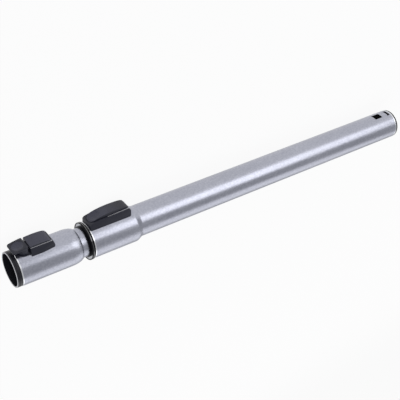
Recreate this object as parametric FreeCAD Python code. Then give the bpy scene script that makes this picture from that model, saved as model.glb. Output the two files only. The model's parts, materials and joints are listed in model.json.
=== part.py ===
import FreeCAD, Part
import math
import os

# Telescopic vacuum wand, in millimetres, pushed together.
# X runs along the tubes from the handle socket's mouth to the lower end.
# Pieces are drawn with the thumb buttons straight up (+Z) and the tube axis on X,
# then the whole wand is rolled about its axis until it lies on its side.

# Lower tube
TUBE_R = 17.5
TUBE_WALL = 0.9
LOWER_END_X = 523.0
EDGE_CURL_R = 1.6
SWAGE_STEP = 3.1
SWAGE_FRONT_X = 87.5
SWAGE_REAR_X = 139.0
SWAGE_TAPER = 9.5

# Latch hole and slot for the floor tool, measured from the lower end
HOLE_FROM_END = 23.0
HOLE_LENGTH = 10.0
HOLE_WIDTH = 8.4
HOLE_CORNER_R = 1.2
SLOT_FROM_END = 6.7
SLOT_LENGTH = 1.8
SLOT_WIDTH = 9.5

# Upper tube with its bell, notches and key groove
TUBE_GAP = 0.4
INNER_WALL = 0.9
BELL_R = 19.9
BELL_FRONT_X = 5.85
BELL_REAR_X = 63.0
BELL_DOME = 12.5
BELL_DOME_TURN = 65.0
BELL_CREASE = 1.0
BELL_CREASE_RUN = 0.6
TAIL_LENGTH = 14.0
TAIL_STEP = 1.1
TRAVEL = 300.0
NOTCH_PITCH = 50.0
NOTCH_HALF_LENGTH = 1.9
NOTCH_DEPTH = 1.6
KEY_R = 1.8
KEY_DEPTH = 1.2

# Socket liner
SOCKET_R = 17.7
LINER_RING_R = 19.5
LINER_END_X = 58.0
LINER_EDGE_R = 0.7
SOCKET_LAND = 35.5
SOCKET_RELIEF = 0.4

# End collar, guide sleeve and seals
COLLAR_STAND = 0.55
COLLAR_FRONT_X = 80.0
COLLAR_EDGE_R = 3.6
COLLAR_SPIGOT = 3.4
COLLAR_GROOVE = 0.7
COLLAR_GROOVE_DEPTH = 0.5
WIPER_LENGTH = 3.5
SLIDE_GAP = 0.3
SLEEVE_END_GAP = 1.0
SEAL_LENGTH = 3.0

# Length lock
LOCK_FRONT_X = 88.4
LOCK_REAR_X = 137.4
LOCK_HALF_W = 8.9
LOCK_DRAFT = 0.5
LOCK_WALL = 1.6
LOCK_FRONT_Z = 24.4
LOCK_CREST_X = 130.6
LOCK_CREST_Z = 31.3
LOCK_BULGE = 0.9
LOCK_ROUND_RUN = 0.62
LOCK_ROUND_DROP = 0.34
LOCK_FRONT_CORNER_R = 3.0
LOCK_REAR_CORNER_R = 4.5
BUTTON_GAP = 0.35
BUTTON_NOSE_R = 5.5
BUTTON_TAIL_R = 2.4
BUTTON_PROUD = 0.5
BUTTON_SKIN = 1.8
BUTTON_PIVOT_X = 106.0
BUTTON_PIVOT_Z = 25.4
BUTTON_SWING = 7.0
PIN_R = 1.2
PIN_GRIP = 0.8
PIN_PLAY = 0.05
HUB_R = 2.2
LEAF_THICK = 0.3
LEAF_HALF_W = 3.0
TOOTH_X = 124.0
TOOTH_LENGTH = 3.0
TOOTH_HALF_W = 3.4
TOOTH_SLOT_GAP = 0.5
TOOTH_FLOOR_GAP = 0.25
TOOTH_GRIP = 4.5
WINDOW_LENGTH = 14.0
WINDOW_HALF_W = 6.2
SLEEVE_BOSS_Z = 22.4
SCOOP_X = 98.0
SCOOP_HALF_LENGTH = 8.4
SCOOP_HALF_W = 6.0
SCOOP_DEPTH = 1.3
BUTTON_LEAF_FOOT_X = 103.5
BUTTON_LEAF_TIP_X = 92.5

# Handle latch
LATCH_FRONT_X = 21.7
LATCH_REAR_X = 48.4
LATCH_HALF_W = 9.6
LATCH_REAR_HALF_W = 9.0
LATCH_TOP_Z = 27.6
LATCH_CROWN = 0.5
LATCH_RAKE = 6.5
LATCH_ROUND_RUN = 0.68
LATCH_ROUND_DROP = 0.31
LATCH_ROOM_END = 0.84
LATCH_WALL = 1.4
LATCH_REAR_WALL = 2.1
LATCH_CORNER_R = 4.0
LATCH_SPLIT_Z = 24.2
SHUT_GAP = 0.2
SHUT_BEVEL = 0.4
SADDLE = 0.8
SADDLE_NOSE_X = 6.8
SADDLE_HALF_W = 9.2
SKIRT_INSET = 0.4
LATCH_PIVOT_X = 25.8
LATCH_PIVOT_Z = 23.1
LATCH_SWING = 7.0
EAR_LENGTH = 4.4
PAD_FRONT_X = 3.4
PAD_LIP_Z = 25.4
PAD_LIP = 1.3
PAD_REAR_X = 19.4
PAD_REAR_Z = 27.9
PAD_BULGE = 0.35
PAD_HALF_W = 8.9
PAD_CORNER_R = 2.0
PAD_SCOOP_HALF_LENGTH = 7.0
PAD_SCOOP_HALF_W = 6.6
PAD_SCOOP_DEPTH = 1.3
ARM_HALF_W = 5.2
ARM_THICK = 1.7
HOOK_X = 40.6
HOOK_LENGTH = 4.0
HOOK_HALF_W = 3.8
HOOK_REACH = 1.5
HOOK_GAP = 0.9
LATCH_LEAF_TIP_X = 9.9

# Shared clearances
CLEAR = 0.3
SEAT = 0.03
FAR = 60.0
OVERSHOOT = 1.0
SAME = 1e-4

# Short flats that stand for a bend or a rounded edge in a turned ring
BEND_DROP = 0.25
FINE_FLAT_COUNT = 2
BROAD_FLAT_COUNT = 3

# Sizes that follow from the ones above
TUBE_BORE_R = TUBE_R - TUBE_WALL
INNER_R = TUBE_BORE_R - TUBE_GAP
INNER_BORE_R = INNER_R - INNER_WALL
SWAGE_R = TUBE_R + SWAGE_STEP
SWAGE_BORE_R = SWAGE_R - TUBE_WALL
COLLAR_R = SWAGE_R + COLLAR_STAND
BELL_BORE_R = BELL_R - INNER_WALL
TAIL_R = INNER_R - TAIL_STEP
SLIDE_BORE_R = INNER_R + SLIDE_GAP
COLLAR_END_X = SWAGE_FRONT_X + COLLAR_SPIGOT
WIPER_REAR_X = COLLAR_END_X + SEAT + WIPER_LENGTH
SLEEVE_FRONT_X = WIPER_REAR_X + SEAT
SLEEVE_REAR_X = SWAGE_REAR_X - SLEEVE_END_GAP
SADDLE_R = BELL_R + SADDLE
KEY_END_X = SLEEVE_REAR_X + TRAVEL + SLEEVE_END_GAP
TAIL_X = KEY_END_X + INNER_WALL + TAIL_STEP + CLEAR
INNER_END_X = TAIL_X + TAIL_LENGTH
CAVITY_FRONT_X = LOCK_FRONT_X + LOCK_WALL
CAVITY_REAR_X = LOCK_REAR_X - LOCK_WALL
CAVITY_HALF_W = LOCK_HALF_W - LOCK_WALL
WINDOW_FRONT_X = TOOTH_X - WINDOW_LENGTH / 2
WINDOW_REAR_X = TOOTH_X + WINDOW_LENGTH / 2

ORIGIN = FreeCAD.Vector(0, 0, 0)
ALONG = FreeCAD.Vector(1, 0, 0)
ACROSS = FreeCAD.Vector(0, 1, 0)
UP = FreeCAD.Vector(0, 0, 1)


def outline(start, *steps):
    """Closed face in the X-Z plane. A step is an end point, or a (middle, end) pair for an arc."""
    def point(pair):
        return FreeCAD.Vector(pair[0], 0, pair[1])
    edges = []
    here = point(start)
    for step in steps + (start,):
        if isinstance(step[0], tuple):
            middle, end = map(point, step)
            edges.append(Part.Arc(here, middle, end).toShape())
        else:
            end = point(step)
            edges.append(Part.makeLine(here, end))
        here = end
    return Part.Face(Part.Wire(edges))


def turned(*points):
    """Ring turned about the tube axis from a half section of (x, radius) points."""
    return outline(*points).revolve(ORIGIN, ALONG, 360)


def rounded(x, r, radius, start, end, flats):
    """Points of a rounded edge in a half section, as short flats from one angle to another."""
    angles = [math.radians(start + (end - start) * step / flats) for step in range(flats + 1)]
    return [(x + radius * math.cos(angle), r + radius * math.sin(angle)) for angle in angles]


def slab(half_width, start, *steps):
    """Side outline given an equal thickness on both sides of the middle plane."""
    face = outline(start, *steps)
    face.translate(ACROSS * -half_width)
    return face.extrude(ACROSS * (2 * half_width))


def ogee(x0, r0, x1, r1):
    """Double bend from one radius to another as three flats."""
    quarter = (x1 - x0) / 4
    drop = (r0 - r1) / 2 * BEND_DROP
    return [(x0 + quarter, r0 - drop), (x1 - quarter, r1 + drop), (x1, r1)]


def dome(x0, r0, x1, r1, turn, flats):
    """Bend that leaves a cylinder smoothly and turns down to a smaller radius, as short flats."""
    long_r = (x1 - x0) / math.sin(math.radians(turn))
    high_r = (r0 - r1) / (1 - math.cos(math.radians(turn)))
    angles = [math.radians(turn * step / flats) for step in range(flats + 1)]
    return [(x0 + long_r * math.sin(angle), r0 - high_r * (1 - math.cos(angle))) for angle in angles]


def drum(x0, x1, radius):
    """Cylinder on the tube axis."""
    return Part.makeCylinder(radius, x1 - x0, FreeCAD.Vector(x0, 0, 0), ALONG)


def rod(x, z, radius, half_length):
    """Cylinder across the wand."""
    return Part.makeCylinder(radius, 2 * half_length, FreeCAD.Vector(x, -half_length, z), ACROSS)


def box(x0, x1, half_width, z0, z1):
    """Box centred on the middle plane."""
    return Part.makeBox(x1 - x0, 2 * half_width, z1 - z0, FreeCAD.Vector(x0, -half_width, z0))


def post(x0, x1, front_half, rear_half, front_r, rear_r, z1):
    """Upright block seen from above as a tapered rectangle with rounded corners."""
    corners = [(x0, -front_half), (x1, -rear_half), (x1, rear_half), (x0, front_half), (x0, -front_half)]
    block = Part.Face(Part.makePolygon([FreeCAD.Vector(x, y, 0) for x, y in corners])).extrude(UP * z1)
    for corner_x, radius in ((x0, front_r), (x1, rear_r)):
        upright = [e for e in block.Edges if e.BoundBox.XLength < SAME and e.BoundBox.YLength < SAME
                   and abs(e.BoundBox.XMin - corner_x) < SAME]
        block = block.makeFillet(radius, upright)
    return block


def scoop(x, z, slope, half_length, half_width, depth):
    """Lemon-shaped cutter that leaves an oval thumb hollow on a sloping face."""
    long_r = (half_length ** 2 + depth ** 2) / (2 * depth)
    wide_r = (half_width ** 2 + depth ** 2) / (2 * depth)
    reach = math.sqrt(long_r ** 2 - (long_r - wide_r) ** 2)
    lemon = outline((-reach, 0), ((0, -wide_r), (reach, 0))).revolve(ORIGIN, ALONG, 360)
    lemon.translate(UP * (wide_r - depth))
    lemon.rotate(ORIGIN, ACROSS, -slope)
    lemon.translate(FreeCAD.Vector(x, 0, z))
    return lemon


def pressed_tube(radius, x0, pivot_x, pivot_z, swing):
    """The round under a rocker, as the rocker meets it when its thumb end is pushed right down."""
    tube = drum(x0, pivot_x, radius)
    tube.rotate(FreeCAD.Vector(pivot_x, 0, pivot_z), ACROSS, swing)
    return tube


def leaf_spring(seat_r, foot_x, tip_x, pivot_x, swing):
    """Bent leaf, flat on the round below and rising to the underside of a rocker at rest."""
    foot_z = seat_r + SEAT
    sag = seat_r - math.sqrt(seat_r ** 2 - LEAF_HALF_W ** 2)
    rocker_lift = math.tan(math.radians(swing)) * (pivot_x - tip_x)
    tip_z = foot_z + rocker_lift + CLEAR - LEAF_THICK - sag - 2 * SEAT
    bend_x = foot_x - LEAF_HALF_W
    return slab(LEAF_HALF_W, (foot_x, foot_z), (bend_x, foot_z), (tip_x, tip_z), (tip_x, tip_z + LEAF_THICK),
                (bend_x, foot_z + LEAF_THICK), (foot_x, foot_z + LEAF_THICK))


def slope_between(x0, z0, x1, z1):
    return math.degrees(math.atan2(z1 - z0, x1 - x0))


def bulged(x0, z0, x1, z1, bulge):
    """Arc step between two points, standing out by the bulge at its middle."""
    return ((x0 + x1) / 2, (z0 + z1) / 2 + bulge), (x1, z1)


def hook_window():
    """Opening that lets the latch hook through to the handle's spigot."""
    reach = HOOK_LENGTH / 2 + HOOK_GAP
    return box(HOOK_X - reach, HOOK_X + reach, HOOK_HALF_W + HOOK_GAP, 0, FAR)


# Lower tube: one drawn tube, swaged at the handle end, edge turned in at the floor end

def outer_tube():
    end = LOWER_END_X
    taper_x = SWAGE_REAR_X + SWAGE_TAPER
    curl_x = end - EDGE_CURL_R
    curl_r = TUBE_R - EDGE_CURL_R
    tube = turned(
        (SWAGE_FRONT_X, SWAGE_R), (SWAGE_REAR_X, SWAGE_R),
        *ogee(SWAGE_REAR_X, SWAGE_R, taper_x, TUBE_R),
        *rounded(curl_x, curl_r, EDGE_CURL_R, 90, 0, FINE_FLAT_COUNT),
        (end - TUBE_WALL, curl_r), (curl_x, TUBE_BORE_R), (taper_x, TUBE_BORE_R),
        (SWAGE_REAR_X, SWAGE_BORE_R), (SWAGE_FRONT_X, SWAGE_BORE_R))
    hole_x = end - HOLE_FROM_END
    slot_x = end - SLOT_FROM_END
    hole = post(hole_x - HOLE_LENGTH / 2, hole_x + HOLE_LENGTH / 2, HOLE_WIDTH / 2, HOLE_WIDTH / 2,
                HOLE_CORNER_R, HOLE_CORNER_R, FAR)
    slot = box(slot_x - SLOT_LENGTH / 2, slot_x + SLOT_LENGTH / 2, SLOT_WIDTH / 2, 0, FAR)
    window = box(WINDOW_FRONT_X, WINDOW_REAR_X, WINDOW_HALF_W, 0, FAR)
    return tube.cut([hole, slot, window])


# Upper tube: domed bell for the handle, necked tail, a row of pressed notches and a key groove below

def inner_tube():
    crease_x = BELL_REAR_X + BELL_DOME
    crease_r = INNER_R + BELL_CREASE
    neck_x = crease_x + BELL_CREASE_RUN
    lining = dome(BELL_REAR_X, BELL_BORE_R, crease_x, crease_r - INNER_WALL, BELL_DOME_TURN, FINE_FLAT_COUNT)
    tube = turned(
        (BELL_FRONT_X, BELL_R),
        *dome(BELL_REAR_X, BELL_R, crease_x, crease_r, BELL_DOME_TURN, BROAD_FLAT_COUNT),
        (neck_x, INNER_R), (TAIL_X - TAIL_STEP, INNER_R), (TAIL_X, TAIL_R), (INNER_END_X, TAIL_R),
        (INNER_END_X, TAIL_R - INNER_WALL), (TAIL_X, TAIL_R - INNER_WALL),
        (TAIL_X - TAIL_STEP, INNER_BORE_R), (neck_x, INNER_BORE_R), *reversed(lining),
        (BELL_FRONT_X, BELL_BORE_R))
    notch_z = INNER_R - NOTCH_DEPTH
    notch_count = int(TRAVEL / NOTCH_PITCH) + 1
    notch_xs = [TOOTH_X + NOTCH_PITCH * step for step in range(notch_count)]
    key_z = KEY_DEPTH - INNER_R - KEY_R
    key_start = FreeCAD.Vector(neck_x + CLEAR, 0, key_z)
    key_run = KEY_END_X - neck_x - CLEAR
    envelope = drum(neck_x, TAIL_X, INNER_R)
    pressed_half = NOTCH_HALF_LENGTH + INNER_WALL
    dents = [box(x - pressed_half, x + pressed_half, FAR, notch_z - INNER_WALL, FAR) for x in notch_xs]
    dents.append(Part.makeCylinder(KEY_R + INNER_WALL, key_run + INNER_WALL, key_start, ALONG))
    pressings = [box(x - NOTCH_HALF_LENGTH, x + NOTCH_HALF_LENGTH, FAR, notch_z, FAR) for x in notch_xs]
    pressings.append(Part.makeCylinder(KEY_R, key_run, key_start, ALONG))
    return tube.fuse([dent.common(envelope) for dent in dents]).cut(pressings + [hook_window()])


def tail_bush():
    front = TAIL_X + CLEAR
    rear = INNER_END_X - SEAL_LENGTH - CLEAR
    return turned((front, TAIL_R + SEAT), (front, TUBE_BORE_R - CLEAR / 2), (rear, TUBE_BORE_R - CLEAR / 2),
                  (rear, TAIL_R + SEAT))


def tail_seal():
    front = INNER_END_X - SEAL_LENGTH
    lip_r = TUBE_BORE_R - CLEAR / 2
    return turned((front, TAIL_R + SEAT), (front, lip_r), (INNER_END_X, lip_r), (INNER_END_X, TAIL_R + SEAT))


# Socket liner: moulded bush pushed into the bell, its ring covering the bell's raw edge

def socket_liner():
    relief_r = SOCKET_R + SOCKET_RELIEF
    body_r = BELL_BORE_R - SEAT
    liner = turned(
        (0, SOCKET_R),
        *rounded(LINER_EDGE_R, LINER_RING_R - LINER_EDGE_R, LINER_EDGE_R, 180, 90, FINE_FLAT_COUNT),
        (BELL_FRONT_X - SEAT, LINER_RING_R), (BELL_FRONT_X - SEAT, body_r), (LINER_END_X, body_r),
        (LINER_END_X, relief_r), (SOCKET_LAND + SOCKET_RELIEF, relief_r), (SOCKET_LAND, SOCKET_R))
    return liner.cut(hook_window())


# End collar: glossy ring with a fine groove beside the metal, its spigot holding the felt wiper in the swage

def end_collar():
    front = COLLAR_FRONT_X
    shoulder = front + COLLAR_EDGE_R
    rear = SWAGE_FRONT_X - SEAT
    groove_x = rear - 2 * COLLAR_GROOVE
    return turned(
        (front, SLIDE_BORE_R),
        *rounded(shoulder, COLLAR_R - COLLAR_EDGE_R, COLLAR_EDGE_R, 180, 90, BROAD_FLAT_COUNT),
        (groove_x, COLLAR_R), (groove_x + COLLAR_GROOVE / 2, COLLAR_R - COLLAR_GROOVE_DEPTH),
        (groove_x + COLLAR_GROOVE, COLLAR_R), (rear, COLLAR_R), (rear, SWAGE_BORE_R - SEAT),
        (COLLAR_END_X, SWAGE_BORE_R - SEAT), (COLLAR_END_X, SLIDE_BORE_R))


def wiper_seal():
    front = COLLAR_END_X + SEAT
    felt_r = SWAGE_BORE_R - SEAT
    return turned((front, SLIDE_BORE_R), (front, felt_r), (WIPER_REAR_X, felt_r),
                  (WIPER_REAR_X, SLIDE_BORE_R))


# Guide sleeve: bush in the swage, keyed to the upper tube below and to the swage's window above

def guide_sleeve():
    body_r = SWAGE_BORE_R - SEAT
    sleeve = turned((SLEEVE_FRONT_X, SLIDE_BORE_R), (SLEEVE_FRONT_X, body_r), (SLEEVE_REAR_X, body_r),
                    (SLEEVE_REAR_X, SLIDE_BORE_R))
    boss = box(WINDOW_FRONT_X + CLEAR, WINDOW_REAR_X - CLEAR, WINDOW_HALF_W - CLEAR, INNER_R, SLEEVE_BOSS_Z)
    key_z = KEY_DEPTH - INNER_R - KEY_R
    key = Part.makeCylinder(KEY_R - CLEAR, SLEEVE_REAR_X - SLEEVE_FRONT_X,
                            FreeCAD.Vector(SLEEVE_FRONT_X, 0, key_z), ALONG)
    key = key.common(drum(SLEEVE_FRONT_X, SLEEVE_REAR_X, body_r))
    bore = drum(SLEEVE_FRONT_X, SLEEVE_REAR_X, SLIDE_BORE_R)
    swing = math.radians(BUTTON_SWING) * (BUTTON_PIVOT_Z - INNER_R + NOTCH_DEPTH)
    tooth_slot = box(TOOTH_X - TOOTH_LENGTH / 2 - TOOTH_SLOT_GAP,
                     TOOTH_X + TOOTH_LENGTH / 2 + TOOTH_SLOT_GAP + swing,
                     TOOTH_HALF_W + TOOTH_SLOT_GAP, 0, FAR)
    return sleeve.fuse(boss).cut([bore, tooth_slot]).fuse(key)


# Length lock: drafted housing clipped over the sleeve's boss, open on top for the button

def lock_envelope(top_lift):
    """Outer form of the lock: side outline, drafted section and rounded plan together."""
    rear_run = LOCK_REAR_X - LOCK_CREST_X
    foot_z = math.sqrt(SWAGE_R ** 2 - LOCK_HALF_W ** 2)
    crest_z = LOCK_CREST_Z + top_lift
    side = slab(
        LOCK_HALF_W, (LOCK_FRONT_X, 0), (LOCK_FRONT_X, LOCK_FRONT_Z + top_lift),
        bulged(LOCK_FRONT_X, LOCK_FRONT_Z + top_lift, LOCK_CREST_X, crest_z, LOCK_BULGE),
        ((LOCK_CREST_X + LOCK_ROUND_RUN * rear_run, crest_z - LOCK_ROUND_DROP * (crest_z - foot_z)),
         (LOCK_REAR_X, foot_z)),
        (LOCK_REAR_X, 0))
    top_half = LOCK_HALF_W - LOCK_DRAFT
    section = [(-LOCK_HALF_W, 0), (LOCK_HALF_W, 0), (LOCK_HALF_W, SWAGE_R), (top_half, LOCK_CREST_Z),
               (top_half, FAR), (-top_half, FAR), (-top_half, LOCK_CREST_Z), (-LOCK_HALF_W, SWAGE_R),
               (-LOCK_HALF_W, 0)]
    run = Part.Face(Part.makePolygon([FreeCAD.Vector(LOCK_FRONT_X, y, z) for y, z in section]))
    run = run.extrude(ALONG * (LOCK_REAR_X - LOCK_FRONT_X))
    plan = post(LOCK_FRONT_X, LOCK_REAR_X, LOCK_HALF_W, LOCK_HALF_W, LOCK_FRONT_CORNER_R, LOCK_REAR_CORNER_R,
                FAR)
    return side.common(run).common(plan)


def lock_housing():
    cavity = post(CAVITY_FRONT_X, CAVITY_REAR_X, CAVITY_HALF_W, CAVITY_HALF_W, BUTTON_NOSE_R + BUTTON_GAP,
                  BUTTON_TAIL_R + BUTTON_GAP, FAR)
    boss_room = box(WINDOW_FRONT_X, WINDOW_REAR_X, WINDOW_HALF_W, 0, SLEEVE_BOSS_Z + CLEAR)
    saddle = drum(LOCK_FRONT_X - OVERSHOOT, LOCK_REAR_X + OVERSHOOT, SWAGE_R + SEAT)
    return lock_envelope(0).cut([saddle, cavity, boss_room, button_pin()])


def button_pin():
    return rod(BUTTON_PIVOT_X, BUTTON_PIVOT_Z, PIN_R, CAVITY_HALF_W + PIN_GRIP)


def length_button():
    front = CAVITY_FRONT_X + BUTTON_GAP
    rear = CAVITY_REAR_X - BUTTON_GAP
    half = CAVITY_HALF_W - BUTTON_GAP
    plan = post(front, rear, half, half, BUTTON_NOSE_R, BUTTON_TAIL_R, FAR)
    body = lock_envelope(BUTTON_PROUD).common(plan)
    relief_r = SWAGE_R + CLEAR
    under = drum(front - OVERSHOOT, rear + OVERSHOOT, relief_r)
    pressed = pressed_tube(relief_r, front - SWAGE_R, BUTTON_PIVOT_X, BUTTON_PIVOT_Z, BUTTON_SWING)
    boss_room = box(WINDOW_FRONT_X - HUB_R, rear + OVERSHOOT, half + OVERSHOOT, 0, SLEEVE_BOSS_Z + CLEAR)
    hub_end = BUTTON_PIVOT_X + HUB_R
    tooth_front = TOOTH_X - TOOTH_LENGTH
    hollow_top = BUTTON_PIVOT_Z + HUB_R - BUTTON_SKIN / 2
    hollow = box(hub_end, tooth_front, half - BUTTON_SKIN, 0, hollow_top)
    run_slope = slope_between(LOCK_FRONT_X, LOCK_FRONT_Z, LOCK_CREST_X, LOCK_CREST_Z)
    face_z = LOCK_FRONT_Z + BUTTON_PROUD + math.tan(math.radians(run_slope)) * (SCOOP_X - LOCK_FRONT_X)
    thumb = scoop(SCOOP_X, face_z + LOCK_BULGE / 2, run_slope, SCOOP_HALF_LENGTH, SCOOP_HALF_W, SCOOP_DEPTH)
    bore = rod(BUTTON_PIVOT_X, BUTTON_PIVOT_Z, PIN_R + PIN_PLAY, half + OVERSHOOT)
    seat_half = TOOTH_LENGTH / 2 + SEAT
    tooth_seat = box(TOOTH_X - seat_half, TOOTH_X + seat_half, TOOTH_HALF_W + SEAT, 0, tooth_top() + SEAT)
    return body.cut([under, pressed, boss_room, hollow, thumb, bore, tooth_seat])


def tooth_top():
    return SLEEVE_BOSS_Z + CLEAR + TOOTH_GRIP


def lock_tooth():
    tip_z = INNER_R - NOTCH_DEPTH + TOOTH_FLOOR_GAP
    nose_r = TOOTH_LENGTH / 2
    shank = box(TOOTH_X - nose_r, TOOTH_X + nose_r, TOOTH_HALF_W, tip_z + nose_r, tooth_top())
    return shank.fuse(rod(TOOTH_X, tip_z + nose_r, nose_r, TOOTH_HALF_W)).removeSplitter()


def button_spring():
    return leaf_spring(SWAGE_R, BUTTON_LEAF_FOOT_X, BUTTON_LEAF_TIP_X, BUTTON_PIVOT_X, BUTTON_SWING)


# Handle latch: frame on the bell, lid on the frame, rocker with thumb pad, arm and hook

def latch_envelope():
    """Outer form of the latch frame and its lid together."""
    knee_x = LATCH_REAR_X - LATCH_RAKE
    knee_z = LATCH_TOP_Z - LATCH_CROWN
    foot_z = math.sqrt(BELL_R ** 2 - LATCH_REAR_HALF_W ** 2)
    side = slab(
        LATCH_HALF_W, (LATCH_FRONT_X, 0), (LATCH_FRONT_X, knee_z),
        bulged(LATCH_FRONT_X, knee_z, knee_x, knee_z, LATCH_CROWN),
        ((knee_x + LATCH_ROUND_RUN * LATCH_RAKE, knee_z - LATCH_ROUND_DROP * (knee_z - foot_z)),
         (LATCH_REAR_X, foot_z)),
        (LATCH_REAR_X, 0))
    plan = post(LATCH_FRONT_X, LATCH_REAR_X, LATCH_HALF_W, LATCH_REAR_HALF_W, LATCH_CORNER_R / 3,
                LATCH_CORNER_R, FAR)
    return side.common(plan)


def latch_room():
    """Space inside the latch frame and lid."""
    wall = LATCH_WALL
    front_x = LATCH_FRONT_X + wall
    knee_x = LATCH_REAR_X - LATCH_RAKE
    split_x = knee_x + LATCH_ROOM_END * LATCH_RAKE - LATCH_REAR_WALL
    rear_x = LATCH_REAR_X - LATCH_REAR_WALL
    ceiling_z = LATCH_TOP_Z - LATCH_CROWN - wall
    side = slab(
        LATCH_HALF_W - wall, (front_x, 0), (front_x, ceiling_z), (knee_x - wall, ceiling_z),
        (split_x, LATCH_SPLIT_Z), (rear_x, BELL_R), (rear_x, 0))
    plan = post(LATCH_FRONT_X + wall, LATCH_REAR_X - wall, LATCH_HALF_W - wall, LATCH_REAR_HALF_W - wall,
                LATCH_CORNER_R / 3, LATCH_CORNER_R / 2, FAR)
    return side.common(plan)


def arm_doorway():
    return box(LATCH_FRONT_X - OVERSHOOT, LATCH_FRONT_X + LATCH_WALL + OVERSHOOT, ARM_HALF_W + CLEAR, 0,
               LATCH_TOP_Z - LATCH_CROWN - LATCH_WALL)


def bevelled(shape, z):
    """Bevel of the outer edges that lie at one height along the shut line."""
    edges = [e for e in shape.Edges if abs(e.BoundBox.ZMin - z) < SAME and e.BoundBox.ZLength < SAME
             and e.CenterOfMass.x > LATCH_FRONT_X + LATCH_WALL
             and abs(e.CenterOfMass.y) > LATCH_REAR_HALF_W - LATCH_WALL / 2]
    return shape.makeChamfer(SHUT_BEVEL, edges)


def tongue(nose_x, half_width, rear_x):
    """Upright block seen from above as a straight tongue with a round nose."""
    nose = Part.makeCylinder(half_width, FAR, FreeCAD.Vector(nose_x + half_width, 0, 0))
    return nose.fuse(box(nose_x + half_width, rear_x, half_width, 0, FAR)).removeSplitter()


def latch_cover():
    lid = latch_envelope().cut([latch_room(), arm_doorway()])
    floor_z = LATCH_SPLIT_Z + SHUT_GAP / 2
    lid = lid.common(box(0, LATCH_REAR_X + OVERSHOOT, FAR, floor_z, FAR))
    return bevelled(lid, floor_z)


def latch_base():
    rim_z = LATCH_SPLIT_Z - SHUT_GAP / 2
    frame = latch_envelope().common(box(0, LATCH_REAR_X + OVERSHOOT, FAR, 0, rim_z))
    frame = frame.cut([latch_room(), arm_doorway()])
    frame = bevelled(frame, rim_z)
    nose = tongue(SADDLE_NOSE_X, SADDLE_HALF_W, LATCH_FRONT_X + LATCH_WALL)
    floor = nose.fuse(latch_room()).common(drum(0, LATCH_REAR_X, SADDLE_R))
    ear_half = LATCH_HALF_W - LATCH_WALL / 2
    ears = box(LATCH_PIVOT_X - EAR_LENGTH / 2, LATCH_PIVOT_X + EAR_LENGTH / 2, ear_half, BELL_R / 2,
               LATCH_PIVOT_Z + HUB_R - CLEAR)
    ears = ears.common(latch_envelope()).cut(box(0, LATCH_REAR_X, ARM_HALF_W + CLEAR, 0, FAR))
    ears = ears.common(box(0, LATCH_REAR_X, FAR, 0, rim_z))
    bell = drum(0, LATCH_REAR_X + OVERSHOOT, BELL_R + SEAT)
    return frame.fuse([floor, ears]).cut([bell, hook_window(), latch_pin()])


def latch_pin_half():
    return LATCH_REAR_HALF_W - LATCH_WALL


def latch_pin():
    return rod(LATCH_PIVOT_X, LATCH_PIVOT_Z, PIN_R, latch_pin_half())


def latch_rocker():
    relief_r = SADDLE_R + CLEAR
    top = bulged(PAD_FRONT_X, PAD_LIP_Z, PAD_REAR_X, PAD_REAR_Z, PAD_BULGE)
    lip = slab(PAD_HALF_W, (PAD_FRONT_X, PAD_LIP_Z - PAD_LIP), (PAD_FRONT_X, PAD_LIP_Z), top,
               (PAD_REAR_X, PAD_REAR_Z - PAD_LIP))
    skirt = slab(PAD_HALF_W, (PAD_FRONT_X, 0), (PAD_FRONT_X, PAD_LIP_Z), top, (PAD_REAR_X, 0))
    skirt = skirt.common(tongue(SADDLE_NOSE_X, SADDLE_HALF_W - SKIRT_INSET, PAD_REAR_X))
    pad = lip.fuse(skirt)
    plan = post(PAD_FRONT_X, PAD_REAR_X, PAD_HALF_W, PAD_HALF_W, PAD_CORNER_R, PAD_CORNER_R / 2, FAR)
    pad = pad.common(plan)
    pad_slope = slope_between(PAD_FRONT_X, PAD_LIP_Z, PAD_REAR_X, PAD_REAR_Z)
    middle_x = (PAD_FRONT_X + PAD_REAR_X) / 2
    middle_z = (PAD_LIP_Z + PAD_REAR_Z) / 2 + PAD_BULGE
    thumb = scoop(middle_x, middle_z, pad_slope, PAD_SCOOP_HALF_LENGTH, PAD_SCOOP_HALF_W, PAD_SCOOP_DEPTH)
    arm_top = relief_r + ARM_THICK
    hook_front = HOOK_X - HOOK_LENGTH / 2
    hook_rear = HOOK_X + HOOK_LENGTH / 2
    hub_top = LATCH_PIVOT_Z + HUB_R - CLEAR
    root_x = PAD_REAR_X - OVERSHOOT
    arm = slab(ARM_HALF_W, (root_x, 0), (root_x, hub_top), (LATCH_PIVOT_X, hub_top),
               (LATCH_PIVOT_X + 2 * HUB_R, arm_top), (hook_rear, arm_top), (hook_rear, 0))
    tip_z = SOCKET_R - HOOK_REACH
    hook = slab(HOOK_HALF_W, (hook_front, arm_top), (hook_rear, arm_top), (hook_rear, tip_z),
                (HOOK_X + HOOK_LENGTH / 4, tip_z), (hook_front, SOCKET_R + HOOK_REACH))
    under = drum(-OVERSHOOT, hook_rear + OVERSHOOT, relief_r)
    pressed = pressed_tube(relief_r, -SADDLE_R, LATCH_PIVOT_X, LATCH_PIVOT_Z, LATCH_SWING)
    bore = rod(LATCH_PIVOT_X, LATCH_PIVOT_Z, PIN_R + PIN_PLAY, ARM_HALF_W + OVERSHOOT)
    body = pad.cut(thumb).fuse(arm).cut([under, pressed])
    return body.fuse(hook).cut(bore).removeSplitter()


def latch_spring():
    return leaf_spring(SADDLE_R, PAD_REAR_X, LATCH_LEAF_TIP_X, LATCH_PIVOT_X, LATCH_SWING)


# Lying on its side: the swage and the lock housing's top edge touch the ground together

def lying_roll():
    top_half = LOCK_HALF_W - LOCK_DRAFT
    reach = math.hypot(LOCK_CREST_Z, top_half)
    edge_angle = math.degrees(math.atan2(top_half, LOCK_CREST_Z))
    from_ground = math.degrees(math.acos(COLLAR_R / reach))
    return 180 - from_ground - edge_angle


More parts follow.
